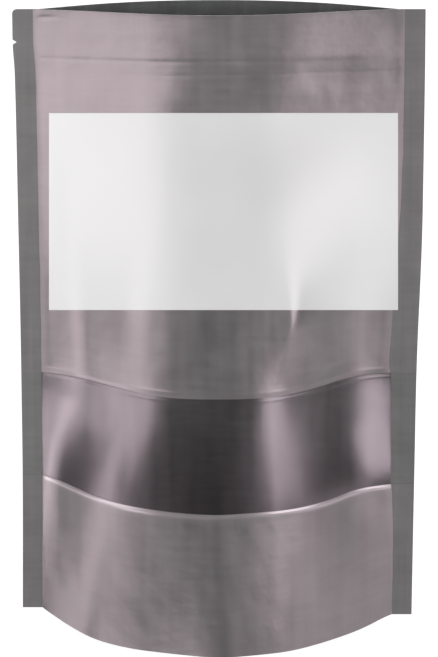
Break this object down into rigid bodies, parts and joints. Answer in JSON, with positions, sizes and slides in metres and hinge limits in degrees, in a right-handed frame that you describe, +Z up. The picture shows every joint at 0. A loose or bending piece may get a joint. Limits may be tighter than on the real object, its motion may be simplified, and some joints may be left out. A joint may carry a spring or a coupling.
{
  "type": "stand-up snack pouch with a window band",
  "caption": "Open stand-up snack pouch of satin grey laminate with a clear window band, side seals, a press-to-close mouth, a bottom gusset, a tear notch and a blank white label.",
  "frame": {"origin": "middle of the footprint, on the surface the pouch stands on", "axes": "+Z up, the front with the window band faces -Y, +X to the right seen from the front"},
  "size_m": [0.138, 0.0682, 0.22],
  "materials": {
    "laminate": "satin mauve grey laminated paper with soft mottling, dull grey heat-sealed bands, dark grey inside",
    "window": "clear glossy film",
    "zip": "translucent grey press-to-close strip",
    "label": "blank off-white satin label"
  },
  "bodies": {
    "root": {"front_upper": "laminate", "front_lower": "laminate", "back_panel": "laminate", "bottom_gusset": "laminate", "window_film": "window", "zip_front": "zip", "zip_back": "zip", "label": "label"}
  },
  "joints": []
}
